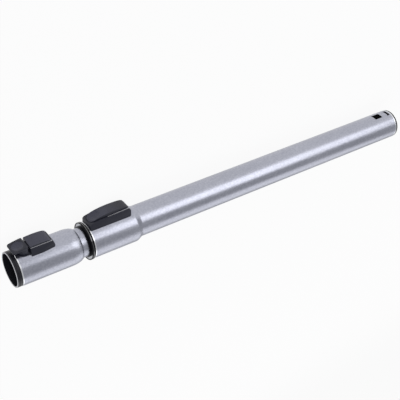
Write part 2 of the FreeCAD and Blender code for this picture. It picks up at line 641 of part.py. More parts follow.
PIECES = [outer_tube, end_collar, wiper_seal, guide_sleeve, lock_housing, button_pin, button_spring,
          length_button, lock_tooth, inner_tube, tail_bush, tail_seal, socket_liner, latch_base, latch_cover,
          latch_pin, latch_spring, latch_rocker]

os.makedirs("parts", exist_ok=True)
for piece in PIECES:
    shape = piece()
    shape.rotate(ORIGIN, ALONG, -lying_roll())
    shape.exportStep(f"parts/{piece.__name__}.step")
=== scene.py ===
import json
import math

import bpy
from mathutils import Matrix, Vector


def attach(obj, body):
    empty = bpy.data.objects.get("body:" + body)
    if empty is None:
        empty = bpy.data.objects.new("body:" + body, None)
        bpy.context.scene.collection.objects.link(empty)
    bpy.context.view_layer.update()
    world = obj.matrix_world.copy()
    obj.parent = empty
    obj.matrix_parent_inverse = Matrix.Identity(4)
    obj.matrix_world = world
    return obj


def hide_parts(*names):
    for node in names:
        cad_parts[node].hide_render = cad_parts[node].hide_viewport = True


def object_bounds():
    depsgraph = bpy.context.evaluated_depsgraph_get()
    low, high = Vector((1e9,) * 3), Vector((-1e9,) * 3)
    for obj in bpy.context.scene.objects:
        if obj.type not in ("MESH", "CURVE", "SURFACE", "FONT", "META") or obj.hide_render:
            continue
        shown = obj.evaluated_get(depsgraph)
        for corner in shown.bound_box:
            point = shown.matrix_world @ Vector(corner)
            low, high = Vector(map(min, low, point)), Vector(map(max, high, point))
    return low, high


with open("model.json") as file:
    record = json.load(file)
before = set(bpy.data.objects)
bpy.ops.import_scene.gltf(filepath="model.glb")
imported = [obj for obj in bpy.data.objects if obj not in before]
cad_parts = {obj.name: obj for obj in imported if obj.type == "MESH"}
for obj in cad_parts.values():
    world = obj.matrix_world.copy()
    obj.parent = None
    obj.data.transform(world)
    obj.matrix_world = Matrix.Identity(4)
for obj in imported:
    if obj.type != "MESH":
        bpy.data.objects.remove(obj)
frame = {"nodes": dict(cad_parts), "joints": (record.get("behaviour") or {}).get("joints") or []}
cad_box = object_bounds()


# Lower tube: one drawn aluminium tube, swaged wider at the handle end and sawn
# square at the floor end, with a punched hole and slot that catch the floor tool.
# Anodised to a satin silver outside. The bore and the hole walls are painted
# near-black as shade. The cut edges show bare bright metal, and that bright finish
# is carried onto narrow bands beside them and onto the hole rims as painted highlights.

MM = 0.001
MERGE_WITHIN = MM / 500
RING_EDGES = 160
SMOOTH_BELOW, SHARP_ABOVE = math.radians(32), math.radians(40)
PUNCH_REACH, PUNCH_CORNER_STEPS = 60, 5
ALONG = Vector((1, 0, 0))
thumb_hinge = next(joint for joint in frame["joints"] if joint["name"] == "length_button_press")
ACROSS = Vector(thumb_hinge["axis"])
THUMB_SIDE = ACROSS.cross(ALONG)
ROLL = math.atan2(THUMB_SIDE.y, THUMB_SIDE.z)


def pick(piece):
    """Makes one piece the only selected and active object."""
    bpy.ops.object.select_all(action="DESELECT")
    piece.select_set(True)
    bpy.context.view_layer.objects.active = piece


def ease(x, radius, corner, start, end, steps=8):
    """Stations of a rounded corner in a half section, from one angle to another in degrees."""
    angles = [math.radians(start + (end - start) * step / steps) for step in range(steps + 1)]
    return [(x + corner * math.cos(angle), radius + corner * math.sin(angle)) for angle in angles]


def swell(x0, radius0, x1, radius1, steps=12):
    """Stations of a double bend between two radii."""
    shares = [step / steps for step in range(1, steps + 1)]
    return [(x0 + (x1 - x0) * share, radius0 + (radius1 - radius0) * (1 - math.cos(math.pi * share)) / 2)
            for share in shares]


def turned(name, stations):
    """Round piece about the tube axis: a ring extruded and scaled round a closed path of (x, radius)."""
    x, radius = stations[0]
    bpy.ops.object.select_all(action="DESELECT")
    bpy.ops.mesh.primitive_circle_add(vertices=RING_EDGES, radius=radius * MM, location=(x * MM, 0, 0),
                                      rotation=(0, math.pi / 2, 0))
    piece = bpy.context.object
    piece.name = name
    bpy.ops.object.transform_apply()
    bpy.ops.object.mode_set(mode="EDIT")
    bpy.ops.mesh.select_all(action="SELECT")
    for next_x, next_radius in stations[1:] + stations[:1]:
        bpy.ops.mesh.extrude_edges_move(TRANSFORM_OT_translate={"value": ((next_x - x) * MM, 0, 0)})
        growth = next_radius / radius
        bpy.ops.transform.resize(value=(1, growth, growth), center_override=(next_x * MM, 0, 0))
        x, radius = next_x, next_radius
    bpy.ops.mesh.select_all(action="SELECT")
    bpy.ops.mesh.remove_doubles(threshold=MERGE_WITHIN)
    bpy.ops.mesh.normals_make_consistent(inside=False)
    bpy.ops.object.mode_set(mode="OBJECT")
    return piece


def punch(front, rear, half_width, corner=0.0):
    """Upright cutter through the thumb side of a tube, with rounded corners where asked."""
    reach = PUNCH_REACH * MM
    size = ((rear - front) * MM, 2 * half_width * MM, reach)
    place = Vector(((front + rear) / 2 * MM, 0, 0)) + THUMB_SIDE * reach / 2
    bpy.ops.object.select_all(action="DESELECT")
    bpy.ops.mesh.primitive_cube_add(size=1, location=place, rotation=(-ROLL, 0, 0), scale=size)
    cutter = bpy.context.object
    bpy.ops.object.transform_apply()
    if corner:
        bpy.ops.object.mode_set(mode="EDIT")
        bpy.ops.mesh.select_all(action="DESELECT")
        bpy.ops.object.mode_set(mode="OBJECT")
        for edge in cutter.data.edges:
            ends = [cutter.data.vertices[index].co for index in edge.vertices]
            edge.select = abs((ends[1] - ends[0]).dot(THUMB_SIDE)) > reach / 2
        bpy.ops.object.mode_set(mode="EDIT")
        bpy.ops.mesh.select_mode(type="EDGE")
        bpy.ops.mesh.bevel(offset=corner * MM, segments=PUNCH_CORNER_STEPS)
        bpy.ops.object.mode_set(mode="OBJECT")
    return cutter


def cut(piece, cutter, operation="DIFFERENCE"):
    """Takes a cutter's volume out of a piece, or keeps or joins it, and drops the cutter."""
    rule = piece.modifiers.new("cut", "BOOLEAN")
    rule.operation = operation
    rule.solver = "EXACT"
    rule.object = cutter
    pick(piece)
    bpy.ops.object.modifier_apply(modifier="cut")
    bpy.data.objects.remove(cutter)


def soften(piece, width, segments, wanted):
    """Rounds the sharp edges whose middle, as (x, across, height) in mm, is wanted."""
    pick(piece)
    bpy.ops.object.mode_set(mode="EDIT")
    bpy.ops.mesh.select_mode(type="EDGE")
    bpy.ops.mesh.select_all(action="DESELECT")
    bpy.ops.mesh.edges_select_sharp(sharpness=SHARP_ABOVE)
    bpy.ops.object.mode_set(mode="OBJECT")
    for edge in piece.data.edges:
        if edge.select:
            first, second = (piece.data.vertices[index].co for index in edge.vertices)
            middle = (first + second) / 2 / MM
            edge.select = wanted(middle.x, middle.dot(ACROSS), middle.dot(THUMB_SIDE))
    bpy.ops.object.mode_set(mode="EDIT")
    bpy.ops.mesh.bevel(offset=width * MM, segments=segments, clamp_overlap=True)
    bpy.ops.object.mode_set(mode="OBJECT")


def coat(piece, finish, wanted):
    """Gives a second finish to the faces whose x, radius and share of looking outward are wanted."""
    piece.data.materials.append(finish.material)
    for face in piece.data.polygons:
        outward = Vector((0, face.center.y, face.center.z))
        if wanted(face.center.x / MM, outward.length / MM, face.normal.dot(outward.normalized())):
            face.material_index = len(piece.data.materials) - 1


def settle(piece, finish, body, slot, *nodes):
    """Shades a finished piece, gives it its finish and hands it to the body that carries it."""
    pick(piece)
    bpy.ops.object.shade_smooth_by_angle(angle=SMOOTH_BELOW)
    piece.data.materials.clear()
    piece.data.materials.append(finish.material)
    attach(piece, body)
    if nodes:
        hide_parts(*nodes)


class Wire:
    """An output socket that takes part in Python sums."""

    def __init__(self, finish, socket):
        self.finish = finish
        self.socket = socket

    def sum(self, operation, first, second):
        return self.finish.node("ShaderNodeMath", {"operation": operation}, {0: first, 1: second})

    def __add__(self, other):
        return self.sum("ADD", self, other)

    __radd__ = __add__

    def __sub__(self, other):
        return self.sum("SUBTRACT", self, other)

    def __rsub__(self, other):
        return self.sum("SUBTRACT", other, self)

    def __mul__(self, other):
        return self.sum("MULTIPLY", self, other)

    __rmul__ = __mul__


class Finish:
    """A material whose nodes are added one call at a time."""

    def __init__(self, name, **plain):
        self.material = bpy.data.materials.new(name)
        self.material.use_nodes = True
        self.tree = self.material.node_tree
        self.skin = self.tree.nodes["Principled BSDF"]
        self.place = self.node("ShaderNodeTexCoord", output="Object")
        self.lay(**plain)

    def node(self, kind, settings=None, values=None, output=0):
        """Adds one node: its settings first, then the values or links of its sockets."""
        made = self.tree.nodes.new(kind)
        for name, setting in (settings or {}).items():
            if name == "stops":
                for stop, (position, shade) in zip(made.color_ramp.elements, setting):
                    stop.position = position
                    stop.color = (shade, shade, shade, 1)
            else:
                setattr(made, name, setting)
        for name, value in (values or {}).items():
            self.plug(made.inputs[name], value)
        return Wire(self, made.outputs[output])

    def plug(self, socket, value):
        """Links a wire to a socket, or sets the socket's own value."""
        if isinstance(value, Wire):
            self.tree.links.new(value.socket, socket)
        else:
            socket.default_value = value

    def lay(self, **sockets):
        """Plugs values into the shader's sockets by name."""
        for name, value in sockets.items():
            self.plug(self.skin.inputs[name.replace("_", " ")], value)

    def noise(self, scale, detail, stretch=(1, 1, 1)):
        """Fine or coarse cloud, with so many cells to the metre, drawn out along an axis where asked."""
        placed = self.node("ShaderNodeMapping", values={"Vector": self.place, "Scale": stretch})
        return self.node("ShaderNodeTexNoise", values={"Vector": placed, "Scale": scale, "Detail": detail})

    def patch(self, pattern, low, high):
        """Sharpens a pattern into patches between two of its levels."""
        return self.node("ShaderNodeValToRGB", {"stops": ((low, 0), (high, 1))}, {"Fac": pattern})

    def tint(self, share, first, second):
        """Colour between two colours."""
        colours = {"Factor": share, 6: first, 7: second}
        return self.node("ShaderNodeMix", {"data_type": "RGBA"}, colours, output=2)

    def relief(self, height, depth):
        """Fine roughness of the surface, as deep as given in mm."""
        self.lay(Normal=self.node("ShaderNodeBump", values={"Height": height, "Distance": depth * MM}))


SATIN_SHADE, SATIN_LIGHT = (0.355, 0.365, 0.43, 1), (0.495, 0.505, 0.57, 1)
satin = Finish("satin_tube", Metallic=1.0)
draw_lines = satin.noise(900, 3, stretch=(0.01, 1, 1))
grain = satin.noise(5200, 2)
fleck = satin.patch(satin.noise(470, 2), 0.33, 0.67)
handled = satin.patch(satin.noise(22, 4), 0.42, 0.7)
satin.lay(
    Base_Color=satin.tint(draw_lines * 0.25 + fleck * 0.55 + handled * 0.2, SATIN_SHADE, SATIN_LIGHT),
    Roughness=0.25 + draw_lines * 0.06 + grain * 0.04 + handled * 0.05)
satin.relief(draw_lines * 0.7 + grain * 0.3, depth=0.03)

# Painted shade: the bores and the walls of the hole are coloured near-black so they read dark.
BORE_SHADE, BORE_LIGHT = (0.02, 0.02, 0.022, 1), (0.05, 0.05, 0.054, 1)
bore_painted_shade = Finish("tube_bore_painted_shade", Metallic=0.7)
streak = bore_painted_shade.noise(500, 3, stretch=(0.02, 1, 1))
bore_painted_shade.lay(Base_Color=bore_painted_shade.tint(streak, BORE_SHADE, BORE_LIGHT), Roughness=0.5 + streak * 0.2)

# Bare metal of the cut edges, and painted highlights: the same near-white metal is laid on bands beside the
# edges and on the hole rims to draw bright lines.
BARE_AND_HIGHLIGHT_SHADE, BARE_AND_HIGHLIGHT_LIGHT = (0.82, 0.83, 0.86, 1), (0.93, 0.94, 0.96, 1)
bare_edge_and_painted_highlight = Finish("bare_edge_and_painted_highlight", Metallic=1.0)
sawn = bare_edge_and_painted_highlight.noise(2500, 3)
bare_edge_and_painted_highlight.lay(Base_Color=bare_edge_and_painted_highlight.tint(sawn, BARE_AND_HIGHLIGHT_SHADE, BARE_AND_HIGHLIGHT_LIGHT), Roughness=0.18 + sawn * 0.10)

SWAGE_FRONT, SWAGE_REAR, TAPER_END = 87.5, 139.0, 148.5
SWAGE_R, TUBE_R, WALL = 20.6, 17.5, 0.9
LOWER_END = cad_box[1][0] / MM
METAL_END = LOWER_END - 2.2
# The band widths beside the swage edge and the floor end are painted highlight bands.
SAWN_EDGE, RIM_EDGE, END_HIGHLIGHT_BAND, SWAGE_HIGHLIGHT_BAND = 0.3, 0.5, 1.5, 1.25
HOLE_X, HOLE_HALF_LENGTH, HOLE_HALF_WIDTH = LOWER_END - 23.0, 5.7, 4.5
HOLE_CORNER, HOLE_EDGE, HOLE_EDGE_STEPS = 1.0, 0.35, 2
HOLE_NEAR, HOLE_FAR = HOLE_X - 8, HOLE_X + 8
SLOT_X, SLOT_HALF_LENGTH, SLOT_HALF_WIDTH = LOWER_END - 6.9, 1.75, 5.0
SLOT_NEAR, SLOT_FAR = SLOT_X - 3, METAL_END - 2
TOOTH_WINDOW_FRONT, TOOTH_WINDOW_REAR, TOOTH_WINDOW_HALF_WIDTH = 117.0, 131.0, 6.2
LOOKS_IN, LOOKS_ASIDE, LOOKS_OUT = -0.3, 0.2, 0.97
lower_tube = turned("lower_tube", [
    (SWAGE_FRONT, SWAGE_R - SAWN_EDGE), (SWAGE_FRONT + SAWN_EDGE, SWAGE_R),
    (SWAGE_FRONT + SWAGE_HIGHLIGHT_BAND, SWAGE_R), (SWAGE_REAR, SWAGE_R),
    *swell(SWAGE_REAR, SWAGE_R, TAPER_END, TUBE_R),
    (HOLE_NEAR, TUBE_R), (HOLE_FAR, TUBE_R), (SLOT_NEAR, TUBE_R), (METAL_END - END_HIGHLIGHT_BAND, TUBE_R),
    *ease(METAL_END - RIM_EDGE, TUBE_R - RIM_EDGE, RIM_EDGE, 90, 0), (METAL_END, TUBE_R - WALL),
    (SLOT_NEAR, TUBE_R - WALL), (HOLE_FAR, TUBE_R - WALL), (HOLE_NEAR, TUBE_R - WALL),
    (TAPER_END, TUBE_R - WALL), (SWAGE_REAR, SWAGE_R - WALL), (SWAGE_FRONT, SWAGE_R - WALL)])
cut(lower_tube, punch(HOLE_X - HOLE_HALF_LENGTH, HOLE_X + HOLE_HALF_LENGTH, HOLE_HALF_WIDTH, HOLE_CORNER))
cut(lower_tube, punch(SLOT_X - SLOT_HALF_LENGTH, SLOT_X + SLOT_HALF_LENGTH, SLOT_HALF_WIDTH))
cut(lower_tube, punch(TOOTH_WINDOW_FRONT, TOOTH_WINDOW_REAR, TOOTH_WINDOW_HALF_WIDTH))
soften(lower_tube, HOLE_EDGE, HOLE_EDGE_STEPS, lambda x, across, height:
       HOLE_NEAR < x < SLOT_FAR and height > TUBE_R - WALL / 2)
settle(lower_tube, satin, "lower_tube", "satin_tube", "outer_tube")
# The bore and the hole walls get the painted near-black shade.
coat(lower_tube, bore_painted_shade, lambda x, radius, outward:
     outward < LOOKS_IN or outward < LOOKS_ASIDE and x > HOLE_NEAR)
# Bare metal on the cut faces; painted highlight on the swage band, the end band and the hole rims.
coat(lower_tube, bare_edge_and_painted_highlight, lambda x, radius, outward: outward > LOOKS_IN and (
     x < SWAGE_FRONT + SWAGE_HIGHLIGHT_BAND
     or outward > LOOKS_ASIDE and x > METAL_END - END_HIGHLIGHT_BAND
     or LOOKS_ASIDE < outward < LOOKS_OUT and x > HOLE_NEAR))


# End liner: thin black moulded bush pushed into the floor end of the lower tube.
# Its rounded rim stands a little out of the metal and guards the sawn edge, and
# its outside under the metal, seen through the hole and slot, is painted near-black as shade.

LINER_SHADE, LINER_LIGHT = (0.010, 0.010, 0.014, 1), (0.020, 0.020, 0.026, 1)
liner_black = Finish("liner_black", IOR=1.36)
turning = liner_black.noise(700, 3, stretch=(3, 1, 1))
liner_black.lay(
    Base_Color=liner_black.tint(turning, LINER_SHADE, LINER_LIGHT),
    Roughness=0.26 + turning * 0.12)

# Painted shade: near-black for the liner's outside where it shows through the hole and slot.
POCKET_SHADE, POCKET_LIGHT = (0.002, 0.002, 0.003, 1), (0.006, 0.006, 0.007, 1)
pocket_shade = Finish("pocket_shade", IOR=1.05)
pocket_mottle = pocket_shade.noise(800, 3)
pocket_shade.lay(
    Base_Color=pocket_shade.tint(pocket_mottle, POCKET_SHADE, POCKET_LIGHT),
    Roughness=0.8 + pocket_mottle * 0.1)

PUSH_FIT, BUTT_GAP = 0.03, 0.02
END_LINER_FRONT, END_LINER_R, END_LINER_BORE = LOWER_END - 34.0, TUBE_R - WALL - PUSH_FIT, 15.8
END_RIM_FRONT, END_RIM_R, END_RIM, BORE_CHAMFER = METAL_END + BUTT_GAP, TUBE_R - 0.15, 0.9, 0.2
end_liner = turned("end_liner", [
    (END_RIM_FRONT, END_RIM_R), *ease(LOWER_END - END_RIM, END_RIM_R - END_RIM, END_RIM, 90, 0),
    (LOWER_END, END_LINER_BORE + BORE_CHAMFER), (LOWER_END - BORE_CHAMFER, END_LINER_BORE),
    (END_LINER_FRONT, END_LINER_BORE), (END_LINER_FRONT, END_LINER_R), (END_RIM_FRONT, END_LINER_R)])
settle(end_liner, liner_black, "lower_tube", "liner_black")
# The liner's outside under the metal gets the painted shade.
coat(end_liner, pocket_shade, lambda x, radius, outward: outward > LOOKS_ASIDE and x < METAL_END)


# Guide sleeve, tail bush, felt wiper and tail seal: natural nylon bushes, a
# felt ring and a rubber ring, pushed between the tubes and seen only from the ends.

def dress(finish, *nodes):
    """Gives CAD nodes a finish in place of their plain colour."""
    for name in nodes:
        slots = frame["nodes"][name].data.materials
        slots.clear()
        slots.append(finish.material)


NYLON_SHADE, NYLON_LIGHT = (0.22, 0.22, 0.225, 1), (0.28, 0.28, 0.285, 1)
nylon = Finish("sleeve_grey")
milk = nylon.noise(300, 2)
nylon.lay(Base_Color=nylon.tint(milk, NYLON_SHADE, NYLON_LIGHT), Roughness=0.45 + milk * 0.1)
dress(nylon, "guide_sleeve", "tail_bush")

FELT_SHADE, FELT_LIGHT = (0.10, 0.10, 0.10, 1), (0.22, 0.22, 0.21, 1)
felt = Finish("felt_grey", Roughness=0.95)
fibre = felt.noise(2400, 5)
felt.lay(Base_Color=felt.tint(fibre, FELT_SHADE, FELT_LIGHT))
felt.relief(fibre, depth=0.3)
dress(felt, "wiper_seal")

RUBBER_SHADE, RUBBER_LIGHT = (0.02, 0.02, 0.02, 1), (0.045, 0.045, 0.045, 1)
rubber = Finish("seal_black")
bloom = rubber.noise(500, 3)
rubber.lay(Base_Color=rubber.tint(bloom, RUBBER_SHADE, RUBBER_LIGHT), Roughness=0.7 + bloom * 0.15)
dress(rubber, "tail_seal")


# Upper tube: the same drawn tube one size smaller, spun out into a domed bell
# for the handle, with pressed notches for the lock along its thumb side.
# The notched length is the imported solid's; the bell and neck are turned anew.

BELL_FRONT, BELL_REAR, BELL_R, BELL_EDGE, BELL_HIGHLIGHT_BAND = 5.85, 63.0, 19.9, 0.3, 1.2
DOME_TURN = math.radians(65)
CREASE_X, CREASE_R, CREASE_STEP, CREASE_DEPTH = 75.5, 17.2, 0.2, 0.5
NECK_X, NECK_R, NECK_FILLET, NECK_RISE = 76.1, 16.2, 0.5, 0.06
JOIN_X = 84.0
FLAT_WITHIN = math.radians(0.6)


def dome(bell_r, crease_r, steps=14):
    """Stations of the bell's shoulder, leaving the bell smoothly and meeting the neck in a crease."""
    long_r = (CREASE_X - BELL_REAR) / math.sin(DOME_TURN)
    high_r = (bell_r - crease_r) / (1 - math.cos(DOME_TURN))
    angles = [DOME_TURN * step / steps for step in range(steps + 1)]
    return [(BELL_REAR + long_r * math.sin(angle), bell_r - high_r * (1 - math.cos(angle)))
            for angle in angles]


def copied(node, name):
    """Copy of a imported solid's mesh, with its loose triangles merged into flat faces."""
    piece = bpy.data.objects.new(name, frame["nodes"][node].data.copy())
    bpy.context.scene.collection.objects.link(piece)
    pick(piece)
    bpy.ops.object.mode_set(mode="EDIT")
    bpy.ops.mesh.select_all(action="SELECT")
    bpy.ops.mesh.customdata_custom_splitnormals_clear()
    bpy.ops.mesh.remove_doubles(threshold=MERGE_WITHIN)
    bpy.ops.mesh.dissolve_limited(angle_limit=FLAT_WITHIN)
    bpy.ops.object.mode_set(mode="OBJECT")
    return piece


bell = turned("bell", [
    (JOIN_X, NECK_R), (NECK_X + NECK_FILLET, NECK_R), (NECK_X, NECK_R + NECK_RISE),
    (CREASE_X + CREASE_STEP, CREASE_R - CREASE_DEPTH), *reversed(dome(BELL_R, CREASE_R)),
    (BELL_FRONT + BELL_HIGHLIGHT_BAND, BELL_R), (BELL_FRONT + BELL_EDGE, BELL_R), (BELL_FRONT, BELL_R - BELL_EDGE),
    (BELL_FRONT, BELL_R - WALL), *dome(BELL_R - WALL, CREASE_R - WALL),
    (NECK_X, NECK_R - WALL), (JOIN_X, NECK_R - WALL)])
upper_tube = copied("inner_tube", "upper_tube")
bpy.ops.object.mode_set(mode="EDIT")
bpy.ops.mesh.select_all(action="SELECT")
bpy.ops.mesh.bisect(plane_co=(JOIN_X * MM, 0, 0), plane_no=ALONG, use_fill=True, clear_inner=True)
bpy.ops.object.mode_set(mode="OBJECT")
pick(upper_tube)
bell.select_set(True)
bpy.ops.object.join()
settle(upper_tube, satin, "upper_tube", "satin_tube", "inner_tube")
# The bore gets the painted near-black shade.
coat(upper_tube, bore_painted_shade, lambda x, radius, outward: outward < LOOKS_IN)
# The bell's mouth edge and a band beside it are painted bright as a highlight.
coat(upper_tube, bare_edge_and_painted_highlight, lambda x, radius, outward: outward > LOOKS_IN and x < BELL_FRONT + BELL_HIGHLIGHT_BAND)


# Socket liner: moulded black bush pressed into the bell. Its ring stands out of
# the mouth, with a rounded lip painted pale as a highlight and one fine groove, and
# a shadow gap parts it from the bell's edge, which is painted bright.

# Painted highlight: a pale grey for the liner's rounded lip.
LIP_HIGHLIGHT_SHADE, LIP_HIGHLIGHT_LIGHT = (0.60, 0.60, 0.63, 1), (0.88, 0.88, 0.91, 1)
painted_highlight_lip = Finish("painted_highlight_lip", Roughness=0.42)
lip_highlight_mottle = painted_highlight_lip.noise(900, 4)
painted_highlight_lip.lay(Base_Color=painted_highlight_lip.tint(lip_highlight_mottle, LIP_HIGHLIGHT_SHADE, LIP_HIGHLIGHT_LIGHT))

SOCKET_R, RING_R, LIP = 17.7, 19.5, 0.8
LIP_HIGHLIGHT_DEPTH, LIP_HIGHLIGHT_R = LIP * 0.7, SOCKET_R + LIP / 4
GROOVE_X, GROOVE_WIDTH, GROOVE_SLOPE, GROOVE_R = 2.2, 0.7, 0.15, RING_R - 0.3
LINER_SEAT, LINER_END, LINER_R = 5.82, 58.0, BELL_R - WALL - PUSH_FIT
SHADOW_GAP, SHADOW_SLOPE, SHADOW_R = 0.6, 0.1, RING_R - 0.45
LAND, LAND_SLOPE, RELIEF_R = 35.5, 0.4, 18.1
HOOK_WINDOW_FRONT, HOOK_WINDOW_REAR, HOOK_WINDOW_HALF_WIDTH = 37.7, 43.5, 4.7
liner = turned("socket_liner_ring", [
    *ease(LIP, SOCKET_R + LIP, LIP, 270, 180), *ease(LIP, RING_R - LIP, LIP, 180, 90),
    (GROOVE_X, RING_R), (GROOVE_X + GROOVE_SLOPE, GROOVE_R),
    (GROOVE_X + GROOVE_WIDTH - GROOVE_SLOPE, GROOVE_R), (GROOVE_X + GROOVE_WIDTH, RING_R),
    (LINER_SEAT - SHADOW_GAP, RING_R), (LINER_SEAT - SHADOW_GAP + SHADOW_SLOPE, SHADOW_R),
    (LINER_SEAT, SHADOW_R), (LINER_SEAT, LINER_R), (LINER_END, LINER_R),
    (LINER_END, RELIEF_R), (LAND + LAND_SLOPE, RELIEF_R), (LAND, SOCKET_R)])
cut(liner, punch(HOOK_WINDOW_FRONT, HOOK_WINDOW_REAR, HOOK_WINDOW_HALF_WIDTH))
settle(liner, liner_black, "upper_tube", "liner_black", "socket_liner")
# The rounded lip gets the painted highlight.
coat(liner, painted_highlight_lip, lambda x, radius, outward: x < LIP_HIGHLIGHT_DEPTH and radius > LIP_HIGHLIGHT_R)


# End collar: glossy black moulded ring that closes the swage, pushed in by its
# spigot. A short nose guides the neck, a bright washer lies in its dished front,
# and a flat lacquered band runs round it between two fine grooves.

COLLAR_SHADE, COLLAR_LIGHT = (0.004, 0.004, 0.006, 1), (0.009, 0.009, 0.012, 1)
gloss_black = Finish("gloss_black", IOR=1.2)
swirl = gloss_black.noise(400, 3, stretch=(4, 1, 1))
gloss_black.lay(
    Base_Color=gloss_black.tint(swirl, COLLAR_SHADE, COLLAR_LIGHT),
    Roughness=0.08 + swirl * 0.06)

lacquer = Finish("black_lacquer", IOR=2.1)
brushed = lacquer.noise(600, 3, stretch=(1, 0.3, 0.3))
lacquer.lay(
    Base_Color=lacquer.tint(brushed, COLLAR_SHADE, COLLAR_LIGHT),
    Roughness=0.08 + brushed * 0.06)

WASHER_SHADE, WASHER_LIGHT = (0.32, 0.33, 0.36, 1), (0.42, 0.43, 0.46, 1)
washer = Finish("polished_washer", Metallic=1.0)
spun = washer.noise(800, 3)
washer.lay(Base_Color=washer.tint(spun, WASHER_SHADE, WASHER_LIGHT), Roughness=0.10 + spun * 0.08)

COLLAR_FRONT, COLLAR_REAR, COLLAR_END = 83.5, 87.47, 90.9
COLLAR_R, COLLAR_BORE, COLLAR_LIP, SPIGOT_R = 21.15, 16.5, 0.55, SWAGE_R - WALL - PUSH_FIT
NOSE_X, NOSE_R, NOSE_EDGE = 82.0, 17.5, 0.4
DISH_X, DISH_R, DISH_EDGE = 84.2, 19.9, 0.2
WASHER_FRONT, WASHER_REAR, FLAT_OUTWARD, WASHER_OUTWARD = DISH_X - 0.3, DISH_X + 0.1, 0.5, 0.8
BAND_FRONT, BAND_REAR, BAND_EDGE, BAND_GROOVE, BAND_DEPTH = 84.9, 85.9, 0.05, 0.14, 0.45
COLLAR_STEP_X, COLLAR_STEP_R, COLLAR_STEP_EDGE = 86.7, 19.75, 0.2
collar = turned("collar_ring", [
    (NOSE_X, COLLAR_BORE), *ease(NOSE_X + NOSE_EDGE, NOSE_R - NOSE_EDGE, NOSE_EDGE, 180, 90),
    (DISH_X, NOSE_R), (DISH_X, DISH_R - DISH_EDGE), (DISH_X - DISH_EDGE, DISH_R),
    *ease(COLLAR_FRONT + COLLAR_LIP, COLLAR_R - COLLAR_LIP, COLLAR_LIP, 200, 90),
    (BAND_FRONT - 2 * BAND_GROOVE, COLLAR_R), (BAND_FRONT - BAND_GROOVE, COLLAR_R - BAND_DEPTH),
    (BAND_FRONT, COLLAR_R - BAND_EDGE), (BAND_FRONT + BAND_EDGE, COLLAR_R),
    (BAND_REAR - BAND_EDGE, COLLAR_R), (BAND_REAR, COLLAR_R - BAND_EDGE),
    (BAND_REAR + BAND_GROOVE, COLLAR_R - BAND_DEPTH), (BAND_REAR + 2 * BAND_GROOVE, COLLAR_R),
    (COLLAR_STEP_X - COLLAR_STEP_EDGE, COLLAR_R), (COLLAR_STEP_X, COLLAR_R - COLLAR_STEP_EDGE),
    (COLLAR_STEP_X, COLLAR_STEP_R), (COLLAR_REAR, COLLAR_STEP_R),
    (COLLAR_REAR, SPIGOT_R), (COLLAR_END, SPIGOT_R), (COLLAR_END, COLLAR_BORE)])
settle(collar, gloss_black, "lower_tube", "gloss_black", "end_collar")
coat(collar, lacquer, lambda x, radius, outward: outward > FLAT_OUTWARD and BAND_FRONT < x < BAND_REAR)
coat(collar, washer, lambda x, radius, outward: abs(outward) < WASHER_OUTWARD
     and WASHER_FRONT < x < WASHER_REAR and NOSE_R < radius < DISH_R)


# Length lock's housing: glass-filled nylon moulding with a spark-eroded skin, dull
# with a soft sheen, clipped on the swage with a room for the thumb button in it.
# Its upper rim is painted pale as a highlight.

MOULDED_SHADE, MOULDED_LIGHT = (0.018, 0.019, 0.031, 1), (0.028, 0.029, 0.043, 1)
moulded_black = Finish("moulded_black", IOR=1.38)
pits = moulded_black.noise(3600, 3)
flow = moulded_black.noise(90, 3)
rubbed = moulded_black.patch(moulded_black.noise(60, 2), 0.45, 0.75)
moulded_black.lay(
    Base_Color=moulded_black.tint(flow, MOULDED_SHADE, MOULDED_LIGHT),
    Roughness=0.30 + pits * 0.12 - rubbed * 0.06)
moulded_black.relief(pits, depth=0.04)

# Painted highlight: pale grey laid on edges that should show a bright line.
EDGE_HIGHLIGHT_SHADE, EDGE_HIGHLIGHT_LIGHT = (0.40, 0.40, 0.43, 1), (0.75, 0.75, 0.78, 1)
painted_highlight_edge = Finish("painted_highlight_edge", IOR=1.5)
edge_highlight_mottle = painted_highlight_edge.noise(1500, 4)
painted_highlight_edge.lay(
    Base_Color=painted_highlight_edge.tint(edge_highlight_mottle, EDGE_HIGHLIGHT_SHADE, EDGE_HIGHLIGHT_LIGHT),
    Roughness=0.25 + edge_highlight_mottle * 0.15)

MOULDING_REACH, MOULDING_HEIGHT, ROD_LENGTH = 20, 60, 80


def pulled(name, outline, pull):
    """Block made by drawing an outline as (x, across, height) and pulling it out, then leaned over."""
    bpy.ops.object.select_all(action="DESELECT")
    bpy.ops.mesh.primitive_circle_add(vertices=len(outline), fill_type="NGON")
    block = bpy.context.object
    block.name = name
    for vertex, corner in zip(block.data.vertices, outline):
        vertex.co = Vector(corner) * MM
    bpy.ops.object.mode_set(mode="EDIT")
    bpy.ops.mesh.select_all(action="SELECT")
    bpy.ops.mesh.extrude_region_move(TRANSFORM_OT_translate={"value": Vector(pull) * MM})
    bpy.ops.mesh.select_all(action="SELECT")
    bpy.ops.mesh.normals_make_consistent(inside=False)
    bpy.ops.object.mode_set(mode="OBJECT")
    block.rotation_euler = (-ROLL, 0, 0)
    bpy.ops.object.transform_apply()
    return block


def bow(first, middle, last, steps=10):
    """Points of a bend that starts, passes and ends at three points."""
    pull = [2 * m - (f + l) / 2 for f, m, l in zip(first, middle, last)]
    shares = [step / steps for step in range(steps + 1)]
    return [tuple((1 - t) ** 2 * f + 2 * t * (1 - t) * p + t ** 2 * l for f, p, l in zip(first, pull, last))
            for t in shares]


def seen_from_side(name, outline):
    """Block with an outline of (x, height), wider than any moulding."""
    outline = [(x, -MOULDING_REACH, height) for x, height in outline]
    return pulled(name, outline, (0, 2 * MOULDING_REACH, 0))


